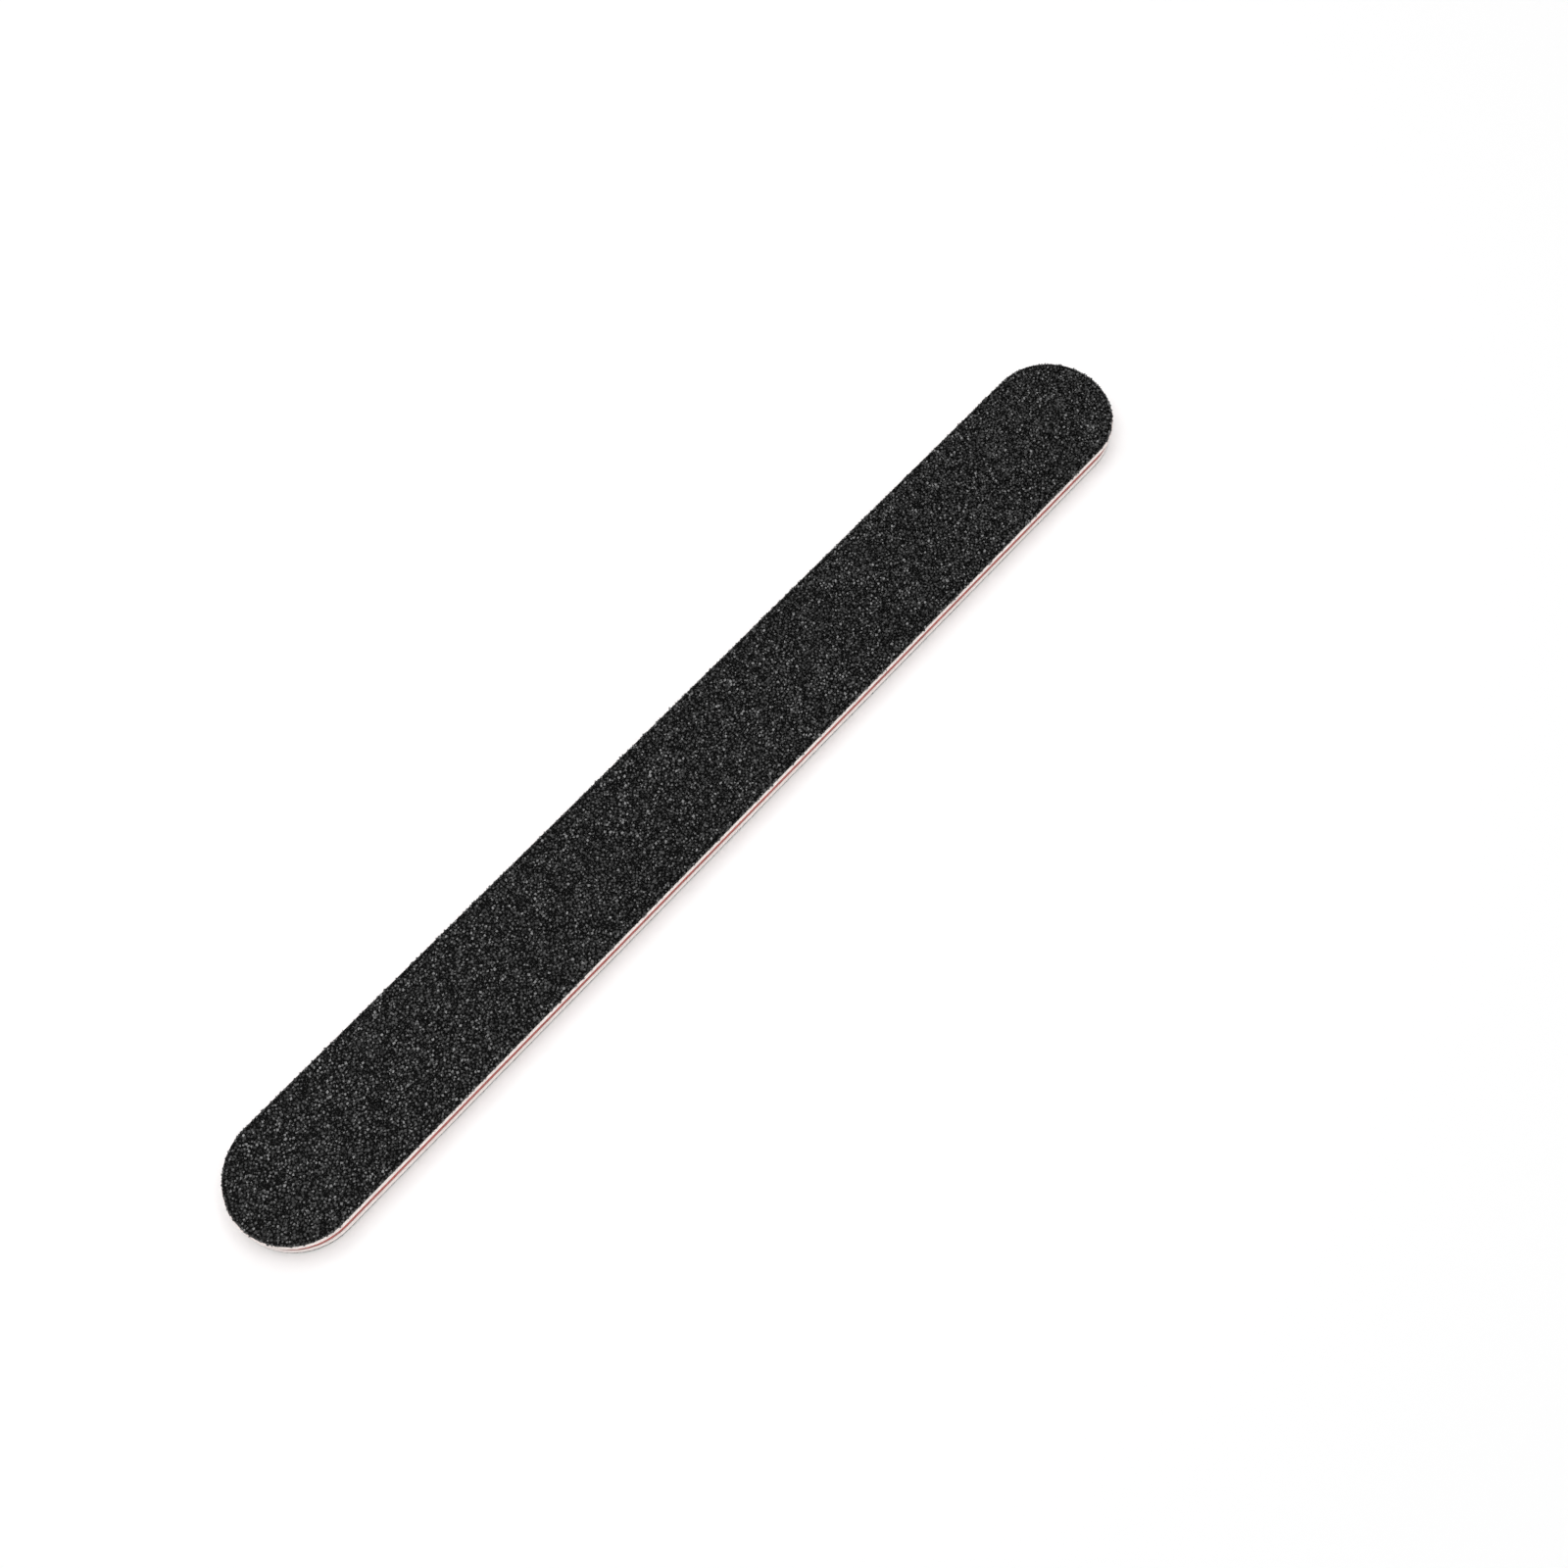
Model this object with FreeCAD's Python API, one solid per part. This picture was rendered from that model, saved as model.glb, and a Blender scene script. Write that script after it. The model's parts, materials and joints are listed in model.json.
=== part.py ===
import FreeCAD, Part
import math
import os

# Cushioned emery board with full-round ends: two sheets of abrasive paper, a coarse and a fine one,
# bonded over foam cushions to a stiff plastic core, and die-cut through all layers at once.
# Millimetres. +X runs along the board and +Z points out of the coarse face. The origin lies under
# the middle of the board, on the plane that the fine face rests on.

# Outline that the die cuts
board_length = 178.0
board_width = 19.4

# Core and cushions
core_thickness = 1.3
core_glue_thickness = 0.05
foam_thickness = 0.95
paper_glue_thickness = 0.05

# Abrasive paper: backing, make coat that holds the grains, grains, size coat that locks them
paper_thickness = 0.18
coarse_make_coat_thickness = 0.06
coarse_grain_height = 0.18
coarse_size_coat_thickness = 0.03
fine_make_coat_thickness = 0.04
fine_grain_height = 0.09
fine_size_coat_thickness = 0.02

# Cut edge: the die rolls the rim of the coarse face down as it enters, the squeezed foam springs
# back to a crowned edge that stands out the furthest, and the core stays behind it in a groove
rolled_rim_width = 0.6
rolled_rim_drop = 0.08
foam_edge_crown = 0.14
core_groove_depth = 0.2

half_width = board_width / 2
sheet_half_width = half_width - foam_edge_crown
core_half_width = half_width - core_groove_depth
straight_length = board_length - board_width

RIGHT_END = FreeCAD.Vector(straight_length / 2, 0, 0)
LEFT_END = -RIGHT_END
ALONG = FreeCAD.Vector(1, 0, 0)
ACROSS = FreeCAD.Vector(0, 1, 0)
UP = FreeCAD.Vector(0, 0, 1)
HALF_TURN = 180


def section_point(across, height):
    return FreeCAD.Vector(0, across, height)


def line(start, end):
    return Part.LineSegment(start, end).toShape()


def face_edges(height, reach, drop):
    """Edges of a layer's face in the half section, from the middle out to the cut edge."""
    middle = section_point(0, height)
    cut_edge = section_point(reach, height - drop)
    if drop == 0:
        return [line(middle, cut_edge)]
    rim_start = section_point(reach - rolled_rim_width, height)
    rim_radius = (rolled_rim_width**2 + drop**2) / (2 * drop)
    half_sweep = math.asin(rolled_rim_width / rim_radius) / 2
    rim_middle = rim_start + section_point(
        rim_radius * math.sin(half_sweep), rim_radius * (math.cos(half_sweep) - 1)
    )
    return [line(middle, rim_start), Part.Arc(rim_start, rim_middle, cut_edge).toShape()]


def side_edge(lower, upper, crown):
    """The cut edge between a layer's two faces, which stands out by crown at mid height."""
    if crown == 0:
        return line(lower, upper)
    bulge = (lower + upper) / 2 + section_point(crown, 0)
    return Part.Arc(lower, bulge, upper).toShape()


def half_section(bottom, top, bottom_drop, top_drop, reach, crown):
    """Closed half section of one layer, from the board's middle plane out to its cut edge."""
    lower_edges = face_edges(bottom, reach, bottom_drop)
    upper_edges = face_edges(top, reach, top_drop)
    side = side_edge(
        section_point(reach, bottom - bottom_drop),
        section_point(reach, top - top_drop),
        crown,
    )
    middle = line(section_point(0, bottom), section_point(0, top))
    edges = lower_edges + [side] + upper_edges + [middle]
    return Part.Face(Part.Wire(Part.__sortEdges__(edges)))


def board_solid(section):
    """Runs a half section along both sides of the board and turns it round both ends."""
    near_side = section.translated(LEFT_END).extrude(ALONG * straight_length)
    far_side = near_side.mirror(FreeCAD.Vector(), ACROSS)
    right_end = section.translated(RIGHT_END).revolve(RIGHT_END, UP, -HALF_TURN)
    left_end = section.translated(LEFT_END).revolve(LEFT_END, UP, HALF_TURN)
    return near_side.fuse([far_side, right_end, left_end]).removeSplitter().Solids[0]


# Every layer from the fine face up: name, thickness, half width, crown of its edge, drop of its upper rim
LAYERS = [
    ("fine_size_coat", fine_size_coat_thickness, sheet_half_width, 0, 0),
    ("fine_grit", fine_grain_height, sheet_half_width, 0, 0),
    ("fine_make_coat", fine_make_coat_thickness, sheet_half_width, 0, 0),
    ("fine_backing_paper", paper_thickness, sheet_half_width, 0, 0),
    ("fine_paper_glue", paper_glue_thickness, sheet_half_width, 0, 0),
    ("fine_foam_cushion", foam_thickness, sheet_half_width, foam_edge_crown, 0),
    ("fine_core_glue", core_glue_thickness, core_half_width, 0, 0),
    ("plastic_core", core_thickness, core_half_width, 0, 0),
    ("coarse_core_glue", core_glue_thickness, core_half_width, 0, 0),
    ("coarse_foam_cushion", foam_thickness, sheet_half_width, foam_edge_crown, rolled_rim_drop),
    ("coarse_paper_glue", paper_glue_thickness, sheet_half_width, 0, rolled_rim_drop),
    ("coarse_backing_paper", paper_thickness, sheet_half_width, 0, rolled_rim_drop),
    ("coarse_make_coat", coarse_make_coat_thickness, sheet_half_width, 0, rolled_rim_drop),
    ("coarse_grit", coarse_grain_height, sheet_half_width, 0, rolled_rim_drop),
    ("coarse_size_coat", coarse_size_coat_thickness, sheet_half_width, 0, rolled_rim_drop),
]


def main():
    os.makedirs("parts", exist_ok=True)
    bottom = 0
    bottom_drop = 0
    for name, thickness, reach, crown, top_drop in LAYERS:
        top = bottom + thickness
        layer = board_solid(half_section(bottom, top, bottom_drop, top_drop, reach, crown))
        layer.exportStep(f"parts/{name}.step")
        print(f"{name}: z {bottom:.2f} to {top:.2f} mm, {layer.Volume:.1f} mm3, valid {layer.isValid()}")
        bottom = top
        bottom_drop = top_drop


main()
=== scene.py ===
import bpy
import json
import math
from mathutils import Matrix, Vector

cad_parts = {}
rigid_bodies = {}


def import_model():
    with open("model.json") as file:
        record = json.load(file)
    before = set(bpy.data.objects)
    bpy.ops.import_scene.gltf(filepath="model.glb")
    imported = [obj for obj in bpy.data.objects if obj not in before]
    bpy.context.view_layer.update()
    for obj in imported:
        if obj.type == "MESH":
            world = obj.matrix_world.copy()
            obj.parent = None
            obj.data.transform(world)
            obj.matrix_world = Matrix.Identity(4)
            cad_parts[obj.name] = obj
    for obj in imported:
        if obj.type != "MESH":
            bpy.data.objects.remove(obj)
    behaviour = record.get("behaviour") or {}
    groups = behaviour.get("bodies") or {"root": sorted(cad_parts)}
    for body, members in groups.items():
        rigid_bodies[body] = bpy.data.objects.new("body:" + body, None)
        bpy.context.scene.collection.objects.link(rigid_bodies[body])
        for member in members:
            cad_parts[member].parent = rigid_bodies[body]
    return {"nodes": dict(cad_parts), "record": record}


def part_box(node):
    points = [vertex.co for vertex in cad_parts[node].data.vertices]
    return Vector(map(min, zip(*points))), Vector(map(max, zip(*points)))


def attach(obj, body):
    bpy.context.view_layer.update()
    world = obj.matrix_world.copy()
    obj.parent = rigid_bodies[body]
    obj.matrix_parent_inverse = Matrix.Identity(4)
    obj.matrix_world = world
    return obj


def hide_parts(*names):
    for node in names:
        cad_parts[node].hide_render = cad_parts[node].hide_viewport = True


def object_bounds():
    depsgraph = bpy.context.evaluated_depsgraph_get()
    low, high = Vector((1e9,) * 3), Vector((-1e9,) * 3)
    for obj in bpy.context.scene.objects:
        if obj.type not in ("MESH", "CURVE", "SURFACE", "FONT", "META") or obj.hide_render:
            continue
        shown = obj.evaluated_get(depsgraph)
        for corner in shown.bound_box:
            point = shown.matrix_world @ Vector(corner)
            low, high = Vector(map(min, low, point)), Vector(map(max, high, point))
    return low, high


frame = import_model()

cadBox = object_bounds()
mm = 0.001
hair = 1e-6                  # metres; places closer than this count as the same

# Sizes shared with the solids, read from the frame where it has them
board = dict(
    length=cadBox[1].x - cadBox[0].x,
    width=cadBox[1].y - cadBox[0].y,
    rimWidth=0.6 * mm,       # rolled rim of the coarse face
    rimDrop=0.08 * mm,
    rimSteps=4,              # rows of faces over it
    foamCrown=0.14 * mm,     # how far the foam's edge stands out
)
straight = board["length"] - board["width"]
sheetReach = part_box("coarse_backing_paper")[1].y     # half width of the abrasive sheets


def deselect():
    if bpy.context.object and bpy.context.object.mode != "OBJECT":
        bpy.ops.object.mode_set(mode="OBJECT")
    bpy.ops.object.select_all(action="DESELECT")


def startPiece(name, adder, **settings):
    deselect()
    adder(**settings)
    piece = bpy.context.object
    piece.name = name
    piece.data.name = name
    return piece


def activate(piece):
    deselect()
    piece.select_set(True)
    bpy.context.view_layer.objects.active = piece


def settle(piece):
    # puts the piece's place into its mesh
    activate(piece)
    bpy.ops.object.transform_apply(location=True, rotation=True, scale=True)


def pick(piece, test):
    # selects the vertices whose place passes the test, and leaves the piece in edit mode
    bpy.ops.object.mode_set(mode="OBJECT")
    mesh = piece.data
    mesh.polygons.foreach_set("select", [False] * len(mesh.polygons))
    mesh.edges.foreach_set("select", [False] * len(mesh.edges))
    mesh.vertices.foreach_set("select", [bool(test(v.co)) for v in mesh.vertices])
    bpy.ops.object.mode_set(mode="EDIT")
    bpy.ops.mesh.select_mode(type="VERT")


def pickEdges(piece, length):
    # selects the edges longer than length, and leaves the piece in edit mode
    bpy.ops.object.mode_set(mode="OBJECT")
    mesh = piece.data
    mesh.polygons.foreach_set("select", [False] * len(mesh.polygons))
    mesh.vertices.foreach_set("select", [False] * len(mesh.vertices))
    ends = [[mesh.vertices[index].co for index in edge.vertices] for edge in mesh.edges]
    mesh.edges.foreach_set("select", [(start - end).length > length for start, end in ends])
    bpy.ops.object.mode_set(mode="EDIT")
    bpy.ops.mesh.select_mode(type="EDGE")


def pickFaces():
    # selects all faces, and leaves the piece in edit mode
    bpy.ops.object.mode_set(mode="EDIT")
    bpy.ops.mesh.select_mode(type="FACE")
    bpy.ops.mesh.select_all(action="SELECT")


def faceOutward():
    bpy.ops.mesh.select_all(action="SELECT")
    bpy.ops.mesh.normals_make_consistent(inside=False)


def addModifier(piece, kind, **settings):
    modifier = piece.modifiers.new(kind.lower(), kind)
    for key, value in settings.items():
        setattr(modifier, key, value)


def applyModifiers(piece):
    activate(piece)
    for modifier in list(piece.modifiers):
        bpy.ops.object.modifier_apply(modifier=modifier.name)


def fromEdge(co, reach):
    # distance of a point in from the board's outline
    over = max(abs(co.x) - straight / 2, 0)
    return reach - math.hypot(over, co.y)


def rimFall(inward):
    # how far the rolled rim lies below the face, this far in from the edge
    out = board["rimWidth"] - inward
    if out <= 0:
        return 0
    radius = (board["rimWidth"]**2 + board["rimDrop"]**2) / (2 * board["rimDrop"])
    return radius - math.sqrt(max(radius**2 - min(out, board["rimWidth"])**2, 0))


def rollRim():
    # steps the selected top face up over the rolled rim, from its edge inward
    stride = board["rimWidth"] / board["rimSteps"]
    for step in range(board["rimSteps"]):
        bpy.ops.mesh.inset(thickness=stride, depth=0, use_even_offset=True)
        rise = rimFall(stride * step) - rimFall(stride * (step + 1))
        bpy.ops.transform.translate(value=(0, 0, rise))


class Wire:
    # an output socket on which sums and products add Math nodes
    def __init__(self, bench, socket):
        self.bench = bench
        self.socket = socket

    def combine(self, operation, first, second):
        return self.bench.node("ShaderNodeMath", dict(operation=operation), {0: first, 1: second})

    def __add__(self, other):
        return self.combine("ADD", self, other)

    def __radd__(self, other):
        return self.combine("ADD", other, self)

    def __sub__(self, other):
        return self.combine("SUBTRACT", self, other)

    def __rsub__(self, other):
        return self.combine("SUBTRACT", other, self)

    def __mul__(self, other):
        return self.combine("MULTIPLY", self, other)

    def __rmul__(self, other):
        return self.combine("MULTIPLY", other, self)


class Bench:
    # a node tree, and the one way to put a node in it
    def __init__(self, tree):
        self.tree = tree

    def node(self, kind, settings=None, inputs=None, output=0):
        made = self.tree.nodes.new(kind)
        for key, value in (settings or {}).items():
            setattr(made, key, value)
        for key, value in (inputs or {}).items():
            if isinstance(value, Wire):
                self.tree.links.new(value.socket, made.inputs[key])
            else:
                made.inputs[key].default_value = value
        return Wire(self, made.outputs[output]) if made.outputs else made

    def mix(self, factor, first, second):
        # colours by Mix: sockets 0, 6 and 7 are its factor and its two colours
        return self.node("ShaderNodeMix", dict(data_type="RGBA"), {0: factor, 6: first, 7: second}, output=2)

    def smooth(self, value, low, high):
        # from 0 below low to 1 above high
        return self.node("ShaderNodeMapRange", dict(interpolation_type="SMOOTHSTEP"),
                         {"Value": value, "From Min": low, "From Max": high})

    def place(self, stretch=(1, 1, 1)):
        # the piece's own coordinates in millimetres
        spot = self.node("ShaderNodeTexCoord", output="Object")
        return self.node("ShaderNodeMapping", None, {"Vector": spot, "Scale": [s / mm for s in stretch]})

    def noise(self, size, detail, roughness=0.5, stretch=(1, 1, 1)):
        # soft noise whose features are about size millimetres wide
        return self.node("ShaderNodeTexNoise", None,
                         {"Vector": self.place(stretch), "Scale": 1 / size,
                          "Detail": detail, "Roughness": roughness})

    def cells(self, size):
        return self.node("ShaderNodeTexVoronoi", dict(feature="SMOOTH_F1"),
                         {"Vector": self.place(), "Scale": 1 / size}, output="Distance")

    def bump(self, height, strength, distance):
        # distance in millimetres
        return self.node("ShaderNodeBump", None,
                         {"Height": height, "Strength": strength, "Distance": distance * mm})


def newFinish(name):
    material = bpy.data.materials.new(name)
    material.use_nodes = True
    material.node_tree.nodes.clear()
    return material, Bench(material.node_tree)


def close(bench, **inputs):
    # the shader and the output that end a finish
    named = {key.replace("_", " "): value for key, value in inputs.items()}
    shader = bench.node("ShaderNodeBsdfPrincipled", None, named)
    bench.node("ShaderNodeOutputMaterial", None, {"Surface": shader})


def colour(red, green, blue):
    return (red, green, blue, 1)


def grey(value):
    return colour(value, value, value)


def grainFinish(name, dark, light, shine):
    material, bench = newFinish(name)
    tone = bench.node("ShaderNodeAttribute", dict(attribute_name="grainTone"), None, "Fac")    # one per grain
    speck = bench.noise(size=0.09, detail=3.0)
    shade = (0.25 + 0.75 * tone) * (0.5 + speck)
    close(bench,
          Base_Color=bench.mix(shade, grey(dark), grey(light)),
          Roughness=shine + speck * 0.2,
          IOR=1.7)               # dark crystals reflect more than plastic does
    return material


def resinFinish():
    material, bench = newFinish("blackResin")
    flow = bench.noise(size=0.35, detail=4.0, roughness=0.6)
    pool = bench.smooth(flow, low=0.3, high=0.7)
    close(bench,
          Base_Color=bench.mix(pool, grey(0.001), grey(0.003)),
          Roughness=0.5 + flow * 0.2,
          Specular_IOR_Level=0.04,
          Normal=bench.bump(flow, strength=0.5, distance=0.03))
    return material


def foamFinish():
    material, bench = newFinish("whiteFoam")
    pit = bench.smooth(bench.cells(size=0.16), low=0.15, high=0.75)
    patch = bench.smooth(bench.noise(size=2.5, detail=3.0), low=0.35, high=0.7)
    tint = bench.mix(patch, colour(0.95, 0.865, 0.84), colour(0.98, 0.905, 0.88))
    close(bench,
          # the cell hollows are painted darker: painted shade in the foam's pits
          Base_Color=bench.mix(pit * 0.2, tint, colour(0.86, 0.71, 0.66)),
          Roughness=0.82 + pit * 0.12,
          Normal=bench.bump(1 - pit, strength=0.5, distance=0.04))
    return material


def paperFinish():
    material, bench = newFinish("backingPaper")
    fibre = bench.noise(size=0.12, detail=4.0, roughness=0.65, stretch=(0.25, 1, 1))
    blotch = bench.noise(size=1.4, detail=2.0)
    shade = bench.smooth(fibre * 0.7 + blotch * 0.3, low=0.3, high=0.7)
    close(bench,
          Base_Color=bench.mix(shade, colour(0.74, 0.69, 0.63), colour(0.90, 0.87, 0.83)),
          Roughness=0.8 + fibre * 0.15,
          Normal=bench.bump(fibre, strength=0.6, distance=0.03))
    return material


def glueFinish():
    material, bench = newFinish("milkyGlue")
    cloud = bench.noise(size=0.5, detail=3.0)
    close(bench,
          Base_Color=bench.mix(cloud, colour(0.80, 0.74, 0.68), colour(0.88, 0.84, 0.80)),
          Roughness=0.35 + cloud * 0.25,
          Normal=bench.bump(cloud, strength=0.3, distance=0.02))
    return material


def coreFinish(low, high):
    material, bench = newFinish("coralPlastic")
    height = bench.node("ShaderNodeSeparateXYZ", None, {"Vector": bench.place()}, "Z")
    fromMiddle = bench.node("ShaderNodeMath", dict(operation="ABSOLUTE"),
                            {0: height - (low + high) / 2 / mm})
    corner = bench.smooth(fromMiddle, low=0.3, high=(high - low) / 2 / mm)              # painted groove shade by the glue lines
    streak = bench.noise(size=0.22, detail=4.0, roughness=0.6, stretch=(0.05, 1, 1))    # along the board
    drag = bench.noise(size=0.3, detail=3.0, roughness=0.55, stretch=(1, 1, 0.12))      # down the cut edge
    speck = bench.smooth(bench.noise(size=0.16, detail=2.0), low=0.68, high=0.76)
    tone = bench.smooth(streak * 0.65 + drag * 0.35, low=0.3, high=0.7)
    coral = bench.mix(tone, colour(0.27, 0.034, 0.026), colour(0.60, 0.105, 0.078))
    # painted shade: the core darkens towards its top and bottom, where the foam overhangs it in its groove
    shaded = bench.mix(corner * 0.9, coral, colour(0.07, 0.014, 0.012))
    close(bench,
          Base_Color=bench.mix(speck, shaded, colour(0.12, 0.022, 0.018)),
          Roughness=0.42 + drag * 0.25,
          Normal=bench.bump(drag * 0.6 + streak * 0.4, strength=0.5, distance=0.04))
    return material


finishes = dict(
    coarse_grains=grainFinish("coarseGrains", dark=0.002, light=0.08, shine=0.20),
    fine_grains=grainFinish("fineGrains", dark=0.004, light=0.046, shine=0.32),
    resin=resinFinish(),
    foam=foamFinish(),
    paper=paperFinish(),
    glue=glueFinish(),
    core=coreFinish(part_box("plastic_core")[0].z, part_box("plastic_core")[1].z),
)
print("finishes made:", ", ".join(sorted(finishes)))


def dress(piece, slot, *nodes):
    # gives a new piece its finish, and puts it in the place of the nodes that it stands for
    piece.data.materials.clear()
    piece.data.materials.append(finishes[slot])
    settle(piece)
    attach(piece, "root")
    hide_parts(*nodes)


# Layers that stay as the solids have them
layerSlots = {row["node"]: row["material_slot"] for row in frame["record"]["subparts"]}
for node in ("fine_make_coat", "fine_backing_paper", "fine_paper_glue", "fine_core_glue", "plastic_core",
             "coarse_core_glue", "coarse_paper_glue", "coarse_backing_paper", "coarse_make_coat"):
    for holder in frame["nodes"][node].material_slots:
        holder.material = finishes[layerSlots[node]]
print("layers finished")


def outlineFace(name, reach, height, endPoints, sidePoints):
    # a full-round board outline: a circle whose halves are drawn apart
    piece = startPiece(name, bpy.ops.mesh.primitive_circle_add, vertices=endPoints, radius=reach,
                       fill_type="NGON", location=(0, 0, height))
    settle(piece)
    pick(piece, lambda co: co.x > -hair)
    bpy.ops.transform.translate(value=(straight / 2, 0, 0))
    pick(piece, lambda co: co.x < -hair)
    bpy.ops.transform.translate(value=(-straight / 2, 0, 0))
    pickEdges(piece, straight / 2)
    bpy.ops.mesh.subdivide(number_cuts=sidePoints)
    bpy.ops.object.mode_set(mode="OBJECT")
    return piece


foam = dict(
    endPoints=512,          # points round both ends together
    sidePoints=760,         # cuts along each straight side
    rings=8,                # rows of faces up the cut edge
    skin=0.02 * mm,         # points this close to the outline are on the cut edge
    cellSize=0.32 * mm,
    cellDepth=0.035 * mm,
    cellMiddle=0.7,         # level of the cells that stays where the edge was
    fill=0.9,
)


def foamCushion(name, node, rolled):
    low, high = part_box(node)
    piece = outlineFace(name, sheetReach, low.z, foam["endPoints"], foam["sidePoints"])
    wall = high.z - low.z - (board["rimDrop"] if rolled else 0)
    rings = foam["rings"]
    pickFaces()
    for ring in range(rings):
        bpy.ops.mesh.extrude_region_move(TRANSFORM_OT_translate=dict(value=(0, 0, wall / rings)))
    if rolled:
        rollRim()
    faceOutward()

    def onCut(co):
        return fromEdge(co, sheetReach) < foam["skin"]

    # crown the cut edge, ring by ring
    for ring in range(1, rings):
        share = ring / rings
        level = low.z + wall * share
        pick(piece, lambda co: abs(co.z - level) < wall / rings / 3 and onCut(co))
        bpy.ops.transform.shrink_fatten(value=board["foamCrown"] * 4 * share * (1 - share))
    bpy.ops.object.mode_set(mode="OBJECT")
    # the cells that the cut opens, on the edge alone
    edge = piece.vertex_groups.new(name="cutEdge")
    edge.add([v.index for v in piece.data.vertices
              if low.z + hair < v.co.z < low.z + wall - hair and onCut(v.co)], 1.0, "REPLACE")
    cells = bpy.data.textures.new(name + "Cells", "VORONOI")
    cells.noise_scale = foam["cellSize"]
    addModifier(piece, "DISPLACE", texture=cells, texture_coords="LOCAL", vertex_group=edge.name,
                strength=foam["cellDepth"], mid_level=foam["cellMiddle"])
    applyModifiers(piece)
    dress(piece, "foam", node)
    print(name, len(piece.data.vertices), "vertices")


foamCushion("coarseFoamCushion", "coarse_foam_cushion", True)
foamCushion("fineFoamCushion", "fine_foam_cushion", False)


# Resin films that run between the grains, on the make coats
film = dict(
    step=0.28 * mm,         # spacing of its mesh
    weld=0.002 * mm,        # points closer than this are merged
    grainHeight=0.18 * mm,  # coarse grit layer above its make coat
    coarseRipple=0.045 * mm,
    fineRipple=0.04 * mm,
    rippleSize=0.45 * mm,
    rippleDetail=2,
    lift=0.75,              # height of the ripples' middle, in ripples
    swing=1.2,              # from trough to crest, in ripples
)


def resinFilm(name, node, base, ripple, rolled, up):
    # a closed film on the make coat at height base, rippled on the side that shows
    step = film["step"]
    rows = 2 * round(sheetReach / step)
    columns = round(straight / step)
    piece = startPiece(name, bpy.ops.mesh.primitive_grid_add, x_subdivisions=columns, y_subdivisions=rows,
                       size=1, location=(0, 0, base))
    piece.scale = (straight, 2 * sheetReach, 1)
    settle(piece)
    for side in (1, -1):             # a half turn of the end row's upper half makes each round end
        pick(piece, lambda co: abs(co.x - side * straight / 2) < hair and co.y > -hair)
        bpy.ops.mesh.spin(steps=round(math.pi * sheetReach / step), angle=side * math.pi,
                          center=(side * straight / 2, 0, base), axis=(0, 0, 1))
    bpy.ops.mesh.select_all(action="SELECT")
    bpy.ops.mesh.remove_doubles(threshold=film["weld"])
    bpy.ops.mesh.normals_make_consistent(inside=False)
    bpy.ops.object.mode_set(mode="OBJECT")
    lift = ripple * film["lift"] * (1 if up else -1)
    for v in piece.data.vertices:
        v.co.z = base + lift - (rimFall(fromEdge(v.co, sheetReach)) if rolled else 0)
    waves = bpy.data.textures.new(name + "Waves", "CLOUDS")
    waves.noise_scale = film["rippleSize"]
    waves.noise_depth = film["rippleDetail"]
    addModifier(piece, "DISPLACE", texture=waves, texture_coords="LOCAL", direction="Z",
                strength=ripple * film["swing"], mid_level=0.5)
    applyModifiers(piece)
    # close it with a flat back
    bpy.ops.object.mode_set(mode="EDIT")
    bpy.ops.mesh.select_mode(type="EDGE")
    bpy.ops.mesh.select_non_manifold(extend=False, use_wire=False, use_boundary=True, use_multi_face=False,
                                     use_non_contiguous=False, use_verts=False)
    bpy.ops.mesh.extrude_region_move(TRANSFORM_OT_translate=dict(value=(0, 0, 0)))
    back = base - (board["rimDrop"] if rolled else 0)
    bpy.ops.transform.resize(value=(1, 1, 0), center_override=(0, 0, back))
    bpy.ops.mesh.edge_face_add()
    faceOutward()
    bpy.ops.object.mode_set(mode="OBJECT")
    dress(piece, "resin", node)
    print(name, len(piece.data.polygons), "faces")


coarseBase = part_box("coarse_grit")[1].z - film["grainHeight"]      # top of the coarse make coat
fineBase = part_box("fine_grit")[1].z                                # under side of the fine make coat
resinFilm("coarseSizeCoat", "coarse_size_coat", coarseBase, film["coarseRipple"], True, True)
resinFilm("fineSizeCoat", "fine_size_coat", fineBase, film["fineRipple"], False, False)


# Abrasive grains, strewn over a bed of the board's outline
bed = dict(endPoints=256, sidePoints=60)
coarse = dict(
    gap=0.38 * mm,          # least distance between grains
    width=0.44 * mm,
    height=0.32 * mm,
    depth=0.15 * mm,        # how far their middles lie below the face
    sizes=(0.72, 1.2),
    tilt=0.6,
    margin=0.03 * mm,       # kept free at the edge; the outermost grains still hang over it
    chipped=True,
    seed=11,
)
filler = dict(              # smaller grains between the coarse ones
    gap=0.25 * mm,
    width=0.27 * mm,
    height=0.24 * mm,
    depth=0.185 * mm,
    sizes=(0.75, 1.2),
    tilt=0.7,
    margin=0.05 * mm,
    chipped=False,
    seed=37,
)
fine = dict(
    gap=0.215 * mm,
    width=0.27 * mm,
    height=0.15 * mm,
    depth=0.08 * mm,
    sizes=(0.75, 1.15),
    tilt=0.6,
    margin=0.04 * mm,
    chipped=False,
    seed=23,
)
grain = dict(
    kinds=7,                # shapes that the scatter copies
    crystals=2,             # where grains are chipped, the first of them are whole crystals
    splinters=5,            # up to this one come chipped splinters, and the rest are chipped shards
    crystal=dict(segments=4, ring_count=2, radius=1.15),
    splinter=dict(vertices=3, radius=1.2, depth=1.6),
    shard=dict(vertices=3, radius1=1.35, depth=1.9),
    pyramid=dict(vertices=3, radius1=1.15, depth=1.5),      # all kinds, where grains aren't chipped
    jitter=0.36,            # how far a corner strays
    chip=0.62,              # where the chip is taken, as a share of the way to the corner
    crowding=12,            # points tried in a square gap, before those too close are dropped
)


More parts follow.
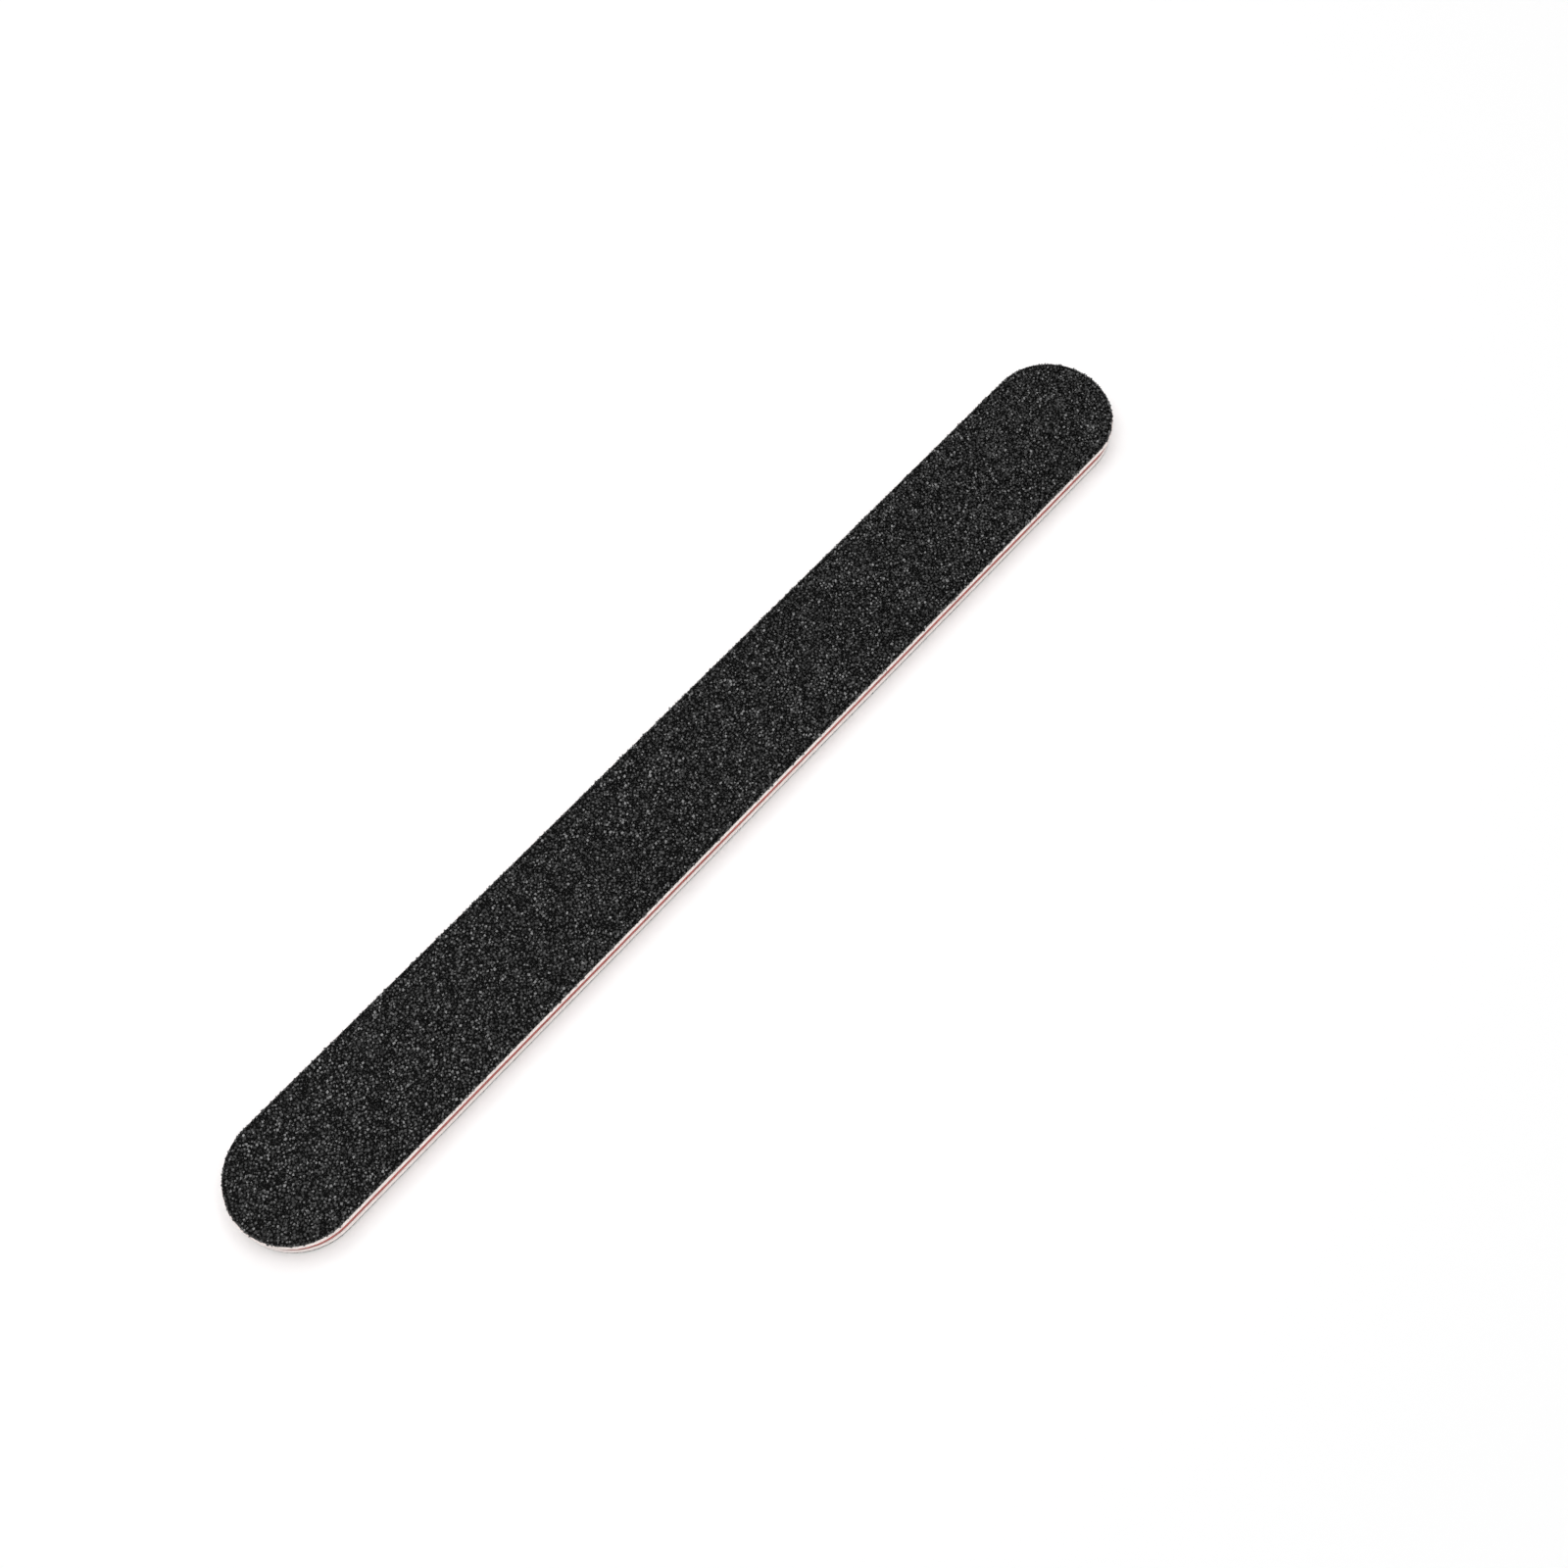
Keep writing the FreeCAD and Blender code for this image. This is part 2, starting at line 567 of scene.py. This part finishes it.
def unitGrain(name, number, chipped):
    # a sharp shape, about one unit from its middle to its corners before they stray
    if not chipped:
        return startPiece(name, bpy.ops.mesh.primitive_cone_add, end_fill_type="NGON", **grain["pyramid"])
    if number < grain["crystals"]:
        return startPiece(name, bpy.ops.mesh.primitive_uv_sphere_add, **grain["crystal"])
    if number < grain["splinters"]:
        return startPiece(name, bpy.ops.mesh.primitive_cylinder_add, rotation=(math.pi / 2, 0, number),
                          **grain["splinter"])
    return startPiece(name, bpy.ops.mesh.primitive_cone_add, end_fill_type="NGON", **grain["shard"])


def grainShapes(name, settings):
    # a few sharp grains that the scatter copies
    shelf = bpy.data.collections.new(name)
    bpy.context.scene.collection.children.link(shelf)
    for number in range(grain["kinds"]):
        shape = unitGrain(f"{name}{number}", number, settings["chipped"])
        settle(shape)
        pickFaces()
        bpy.ops.transform.vertex_random(offset=grain["jitter"], seed=settings["seed"] + number)
        if settings["chipped"] and number >= grain["crystals"]:
            # a chip off the corner that stands out the furthest
            bpy.ops.object.mode_set(mode="OBJECT")
            corner = max((v.co for v in shape.data.vertices), key=lambda co: co.length).copy()
            pickFaces()
            bpy.ops.mesh.bisect(plane_co=corner * grain["chip"], plane_no=corner, use_fill=True,
                                clear_outer=True)
            bpy.ops.mesh.select_all(action="SELECT")
        halfWidth, halfHeight = settings["width"] / 2, settings["height"] / 2
        bpy.ops.transform.resize(value=(halfWidth, halfWidth, halfHeight), center_override=(0, 0, 0))
        bpy.ops.object.mode_set(mode="OBJECT")
        for holder in list(shape.users_collection):
            holder.objects.unlink(shape)
        shelf.objects.link(shape)
    return shelf


def scatterTree(name, shelf, settings):
    tree = bpy.data.node_groups.new(name, "GeometryNodeTree")
    tree.interface.new_socket("Geometry", in_out="INPUT", socket_type="NodeSocketGeometry")
    tree.interface.new_socket("Geometry", in_out="OUTPUT", socket_type="NodeSocketGeometry")
    bench = Bench(tree)
    sheet = bench.node("NodeGroupInput")
    points = bench.node("GeometryNodeDistributePointsOnFaces", dict(distribute_method="POISSON"),
                        {"Mesh": sheet, "Distance Min": settings["gap"],
                         "Density Max": grain["crowding"] / settings["gap"]**2, "Seed": settings["seed"]})
    shapes = bench.node("GeometryNodeCollectionInfo", None,
                        {"Collection": shelf, "Separate Children": True, "Reset Children": False})
    # Random Value: sockets 0 and 1 are a vector's limits, 2 and 3 a number's, 4 and 5 a whole number's,
    # and 8 is the seed
    tilt = settings["tilt"]
    turn = bench.node("FunctionNodeRandomValue", dict(data_type="FLOAT_VECTOR"),
                      {0: (-tilt, -tilt, 0), 1: (tilt, tilt, 2 * math.pi), 8: settings["seed"] + 1})
    low, high = settings["sizes"]
    size = bench.node("FunctionNodeRandomValue", dict(data_type="FLOAT_VECTOR"),
                      {0: (low, low, low), 1: (high, high, high), 8: settings["seed"] + 2})
    choice = bench.node("FunctionNodeRandomValue", dict(data_type="INT"),
                        {4: 0, 5: len(shelf.objects) - 1, 8: settings["seed"] + 3}, output=2)
    tone = bench.node("FunctionNodeRandomValue", dict(data_type="FLOAT"),
                      {2: 0.0, 3: 1.0, 8: settings["seed"] + 4}, output=1)
    grains = bench.node("GeometryNodeInstanceOnPoints", None,
                        {"Points": points, "Instance": shapes, "Pick Instance": True,
                         "Instance Index": choice, "Rotation": turn, "Scale": size})
    toned = bench.node("GeometryNodeStoreNamedAttribute", dict(data_type="FLOAT", domain="INSTANCE"),
                       {"Geometry": grains, "Name": "grainTone", "Value": tone})
    whole = bench.node("GeometryNodeRealizeInstances", None, {"Geometry": toned})
    bench.node("NodeGroupOutput", None, {"Geometry": whole})
    return tree


def scatterGrains(name, slot, node, settings, up):
    # strews grains over the face that points up, whose rim is rolled, or over the one that points down
    level = cadBox[1].z - settings["depth"] if up else cadBox[0].z + settings["depth"]
    rimLevel = level - (board["rimDrop"] if up else 0)
    reach = sheetReach - settings["margin"]
    piece = outlineFace(name, reach, rimLevel, bed["endPoints"], bed["sidePoints"])
    if up:
        pickFaces()
        rollRim()
        bpy.ops.object.mode_set(mode="OBJECT")
    shelf = grainShapes(name + "Shape", settings)
    addModifier(piece, "NODES", node_group=scatterTree(name + "Scatter", shelf, settings))
    applyModifiers(piece)
    for shape in list(shelf.objects):
        bpy.data.objects.remove(shape)
    bpy.data.collections.remove(shelf)
    mesh = piece.data
    for v in mesh.vertices:           # no grain stands out of the board's own height
        v.co.z = min(max(v.co.z, cadBox[0].z), cadBox[1].z)
    dress(piece, slot, node)
    mesh.calc_loop_triangles()
    print(name, len(mesh.loop_triangles), "triangles")


scatterGrains("coarseGrit", "coarse_grains", "coarse_grit", coarse, True)
scatterGrains("coarseFillGrit", "coarse_grains", "coarse_grit", filler, True)
scatterGrains("fineGrit", "fine_grains", "fine_grit", fine, False)


# Floor, light and camera
stage = dict(
    floorSize=1.2,
    floorTone=0.92,
    floorRoughness=0.9,
    floorFade=(220, 520),   # millimetres from the middle between which the floor thins out to nothing
    sky=0.30,               # light from all round
    skyShine=0.01,          # what shiny facets see of it
    backdrop=1.0,           # what the camera sees of it past the floor
)
lamps = dict(
    overhead=dict(size=(1.2, 1.2), power=11.7, place=(0.03, 0.1, 1.0), fills=True, glints=False),
    lowStrip=dict(size=(1.0, 0.12), power=1.5, place=(-0.3, -0.75, 0.075), fills=True, glints=False),
    keyLight=dict(size=(0.9, 0.9), power=8.5, place=(-0.41, 0.49, 0.64), fills=False, glints=True),
)

floor = startPiece("floor", bpy.ops.mesh.primitive_plane_add, size=stage["floorSize"])
material, bench = newFinish("paleFloor")
away = bench.node("ShaderNodeVectorMath", dict(operation="LENGTH"), {0: bench.place()}, "Value")
thinned = bench.smooth(away, *stage["floorFade"])
close(bench, Base_Color=grey(stage["floorTone"]), Roughness=stage["floorRoughness"], Alpha=1 - thinned)
floor.data.materials.append(material)

world = bpy.data.worlds.new("studio")
bpy.context.scene.world = world
world.use_nodes = True
world.node_tree.nodes.clear()
bench = Bench(world.node_tree)
shiny = bench.node("ShaderNodeLightPath", None, None, "Is Glossy Ray")
seen = bench.node("ShaderNodeLightPath", None, None, "Is Camera Ray")
dimmed = stage["sky"] - shiny * (stage["sky"] - stage["skyShine"])
strength = dimmed + seen * (stage["backdrop"] - stage["sky"])
sky = bench.node("ShaderNodeBackground", None, {"Color": grey(1), "Strength": strength})
bench.node("ShaderNodeOutputWorld", None, {"Surface": sky})

for name, settings in lamps.items():
    deselect()
    bpy.ops.object.light_add(type="AREA", location=settings["place"])
    lamp = bpy.context.object
    lamp.name = name
    lamp.data.shape = "RECTANGLE"
    lamp.data.size, lamp.data.size_y = settings["size"]
    lamp.data.energy = settings["power"]
    lamp.rotation_euler = Vector(settings["place"]).to_track_quat("Z", "Y").to_euler()    # aims at the middle
    lamp.visible_diffuse = settings["fills"]
    lamp.visible_glossy = settings["glints"]
    lamp.visible_camera = False

cameraPose = dict(
    azimuth=-137.37,        # where the camera stands, round from +X
    elevation=66.8,
    roll=-0.715,
    target=(7.11 * mm, -9.569 * mm, 0),
    distance=302.7 * mm,
    lens=47.926,
    sensor=36,
    nearest=0.01,
    furthest=20,
)


def placeCamera(pose):
    around, up = math.radians(pose["azimuth"]), math.radians(pose["elevation"])
    back = Vector((math.cos(up) * math.cos(around), math.cos(up) * math.sin(around), math.sin(up)))
    right = (-back).cross(Vector((0, 0, 1))).normalized()
    high = right.cross(-back)
    c, s = math.cos(math.radians(pose["roll"])), math.sin(math.radians(pose["roll"]))
    right, high = right * c + high * s, high * c - right * s
    turn = Matrix((right, high, back)).transposed().to_4x4()
    deselect()
    bpy.ops.object.camera_add()
    camera = bpy.context.object
    camera.matrix_world = Matrix.Translation(Vector(pose["target"]) + back * pose["distance"]) @ turn
    camera.data.lens = pose["lens"]
    camera.data.sensor_width = pose["sensor"]
    camera.data.clip_start = pose["nearest"]
    camera.data.clip_end = pose["furthest"]
    bpy.context.scene.camera = camera


placeCamera(cameraPose)
bpy.context.scene.view_settings.view_transform = "Standard"
print("stage set")
